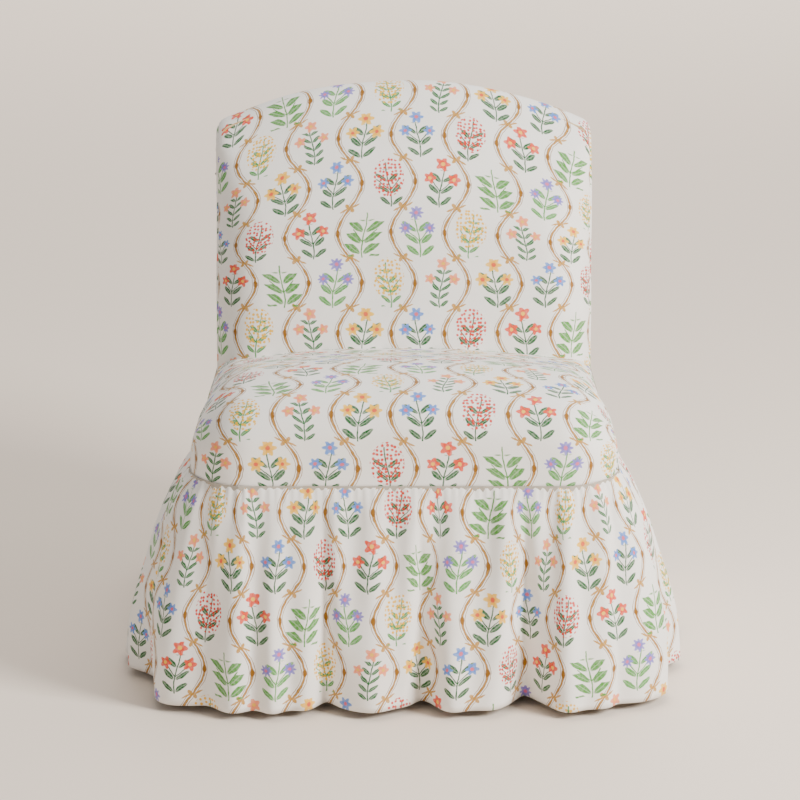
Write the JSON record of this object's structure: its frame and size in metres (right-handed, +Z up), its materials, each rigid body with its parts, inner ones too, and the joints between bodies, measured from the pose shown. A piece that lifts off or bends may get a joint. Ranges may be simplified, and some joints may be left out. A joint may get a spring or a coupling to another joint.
{
  "type": "slipper chair",
  "caption": "Low armless slipper chair, upholstered all over in printed cloth, with an arched back and a gathered skirt to the floor.",
  "frame": {"origin": "on the floor, under the middle of the chair's overall box", "axes": "+Z up; -Y is the way a sitter faces; +X is the sitter's left, the right side in the picture"},
  "size_m": [0.8372, 0.7886, 0.8035],
  "materials": {
    "printed_cotton": "woven cotton with a small printed floral trellis",
    "lining_cloth": "plain cotton lining",
    "wadding": "bonded polyester wadding",
    "foam": "open-cell foam",
    "burlap": "coarse jute cloth",
    "webbing": "herringbone jute webbing",
    "board": "upholsterer's card",
    "frame_wood": "sawn hardwood, unfinished",
    "dowel_wood": "fluted beech",
    "spring_steel": "oil-tempered wire",
    "zinc_steel": "zinc-plated strip",
    "glide_plastic": "moulded nylon",
    "dust_cloth": "spun-bonded black cloth"
  },
  "bodies": {
    "root": {"seat_cover": "printed_cotton", "inside_back_cover": "printed_cotton", "outside_back_cover": "printed_cotton", "skirt_front": "printed_cotton", "skirt_right": "printed_cotton", "skirt_back": "printed_cotton", "skirt_left": "printed_cotton", "skirt_lining": "lining_cloth", "seat_wadding": "wadding", "back_wadding": "wadding", "seat_foam": "foam", "back_foam": "foam", "seat_burlap": "burlap", "back_burlap": "burlap", "back_webbing_across": "webbing", "back_webbing_upright": "webbing", "outside_back_board": "board", "back_tack_strips": "board", "skirt_tack_band": "board", "seat_rail_front": "frame_wood", "seat_rail_right": "frame_wood", "seat_rail_left": "frame_wood", "seat_rail_rear": "frame_wood", "front_leg_right": "frame_wood", "front_leg_left": "frame_wood", "front_corner_blocks": "frame_wood", "back_post_right": "frame_wood", "back_post_left": "frame_wood", "crest_rail": "frame_wood", "back_tack_rail": "frame_wood", "rear_corner_blocks": "frame_wood", "frame_dowels": "dowel_wood", "seat_springs": "spring_steel", "spring_clips": "zinc_steel", "floor_glides": "glide_plastic", "dust_cover": "dust_cloth"}
  },
  "joints": []
}
